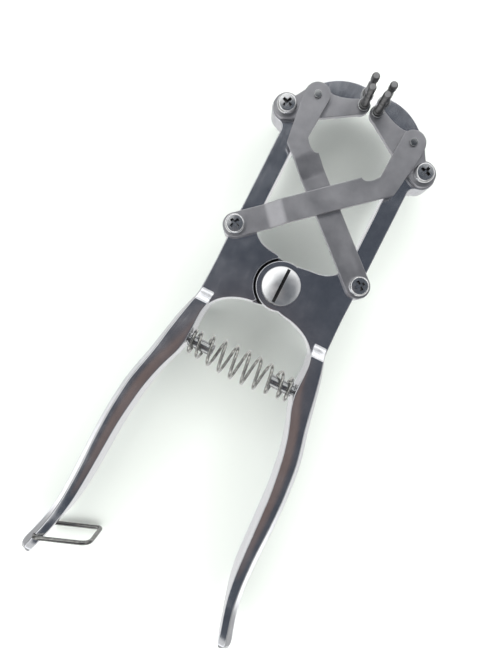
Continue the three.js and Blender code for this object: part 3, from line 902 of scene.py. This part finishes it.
def fade(value, start, end):
    """1 up to start, 0 from end on, smooth between."""
    made = tree.nodes.new("ShaderNodeMapRange")
    made.interpolation_type = "SMOOTHSTEP"
    made.inputs["From Min"].default_value = start
    made.inputs["From Max"].default_value = end
    made.inputs["To Min"].default_value = 1.0
    made.inputs["To Max"].default_value = 0.0
    tree.links.new(value, made.inputs["Value"])
    return made.outputs["Result"]


def length_of(a, b):
    return math_node("SQRT", math_node("ADD", math_node("POWER", a, 2), math_node("POWER", b, 2)))


def blend_colors(share, first, second):
    """first where share is 0, second where it is 1; each is a color or a socket."""
    made = tree.nodes.new("ShaderNodeMix")
    made.data_type = "RGBA"
    tree.links.new(share, made.inputs["Factor"])
    for socket, value in ((made.inputs[6], first), (made.inputs[7], second)):
        if isinstance(value, tuple):
            socket.default_value = (*value, 1)
        else:
            tree.links.new(value, socket)
    return made.outputs[2]


# Overhead, where the photographer stands, the polished faces see a dark room with a warmer sleeve.
direction = tree.nodes.new("ShaderNodeTexCoord").outputs["Generated"]
parts = tree.nodes.new("ShaderNodeSeparateXYZ")
tree.links.new(direction, parts.inputs[0])
height = math_node("MAXIMUM", parts.outputs["Z"], 0.02)
sideways = math_node("DIVIDE", parts.outputs["X"], height)
lengthways = math_node("DIVIDE", parts.outputs["Y"], height)
beside = math_node("DIVIDE", math_node("SUBTRACT", sideways, 0.24), 0.53)
ahead = math_node("DIVIDE", math_node("ADD", lengthways, 0.30), 0.95)
rounded_box = math_node("POWER", math_node("ADD", math_node("POWER", beside, 4),
                                            math_node("POWER", ahead, 4)), 0.25)
overhead = fade(rounded_box, 0.84, 1.4)
across = math_node("DIVIDE", sideways, 0.12)
back = math_node("DIVIDE", math_node("ADD", lengthways, 0.22), 0.24)
sleeve = fade(length_of(across, back), 0.4, 1.5)

# Round the dark place the room is banded from the nadir to the zenith, as strip lights and walls
# would do it, so that the polished sides keep their shape from every direction. The walls beside
# the tool differ from those at its ends.
BRIGHTEST = 1.6


def bands(levels):
    """The room's brightness by height, from pairs of (0 nadir to 1 zenith, level)."""
    made = tree.nodes.new("ShaderNodeValToRGB")
    tree.links.new(math_node("MULTIPLY_ADD", parts.outputs["Z"], 0.5, 0.5), made.inputs["Fac"])
    for i, (position, level) in enumerate(levels):
        stop = made.color_ramp.elements[i] if i < 2 else made.color_ramp.elements.new(position)
        stop.position = position
        stop.color = (*[level / BRIGHTEST] * 3, 1)
    return made.outputs["Color"]


side_walls = bands([(0.0, 0.62), (0.11, 0.80), (0.155, 1.6), (0.20, 0.50), (0.45, 0.30),
                    (0.66, 0.26), (0.80, 0.45), (0.87, 1.3), (0.92, 1.6), (1.0, 1.6)])
end_walls = bands([(0.0, 0.80), (0.07, 0.85), (0.14, 1.35), (0.225, 0.55), (0.45, 0.35),
                   (0.54, 1.5), (0.64, 1.5), (0.71, 0.60), (0.79, 0.80), (0.86, 1.6), (1.0, 1.6)])
outward = length_of(parts.outputs["X"], parts.outputs["Y"])
endwise = math_node("DIVIDE", math_node("ABSOLUTE", parts.outputs["Y"]),
                    math_node("MAXIMUM", outward, 0.001))
walls = blend_colors(fade(endwise, 0.55, 0.85), end_walls, side_walls)
bright = tree.nodes.new("ShaderNodeVectorMath")
bright.operation = "SCALE"
bright.inputs["Scale"].default_value = BRIGHTEST
tree.links.new(walls, bright.inputs[0])
room = blend_colors(overhead, bright.outputs["Vector"], (0.08, 0.09, 0.11))
seen = blend_colors(sleeve, room, (0.22, 0.165, 0.15))

# Matt faces are lit from low down all round, so the floor is bright in the open and dim between the
# bars. The camera itself sees a plain pale wall.
softbox = blend_colors(fade(length_of(sideways, lengthways), 1.15, 1.8),
                       (6.0, 6.0, 6.0), (0.24, 0.24, 0.24))
rays = tree.nodes.new("ShaderNodeLightPath").outputs
lit = blend_colors(rays["Is Diffuse Ray"], seen, softbox)
sky = blend_colors(rays["Is Camera Ray"], lit, (0.93, 0.94, 0.93))
background = tree.nodes.new("ShaderNodeBackground")
tree.links.new(sky, background.inputs["Color"])
output = tree.nodes.new("ShaderNodeOutputWorld")
tree.links.new(background.outputs[0], output.inputs["Surface"])

camera_data = bpy.data.cameras.new("camera")
camera_data.sensor_fit = "AUTO"
camera_data.angle = 2 * math.atan(333.5 / 500)
camera_data.clip_start = 0.01
camera = bpy.data.objects.new("camera", camera_data)
camera.location = (-0.003034, -0.026987, 0.257526)
camera.rotation_euler = (0, 0, math.radians(26.771))
bpy.context.scene.collection.objects.link(camera)
bpy.context.scene.camera = camera
bpy.context.scene.view_settings.view_transform = "Standard"
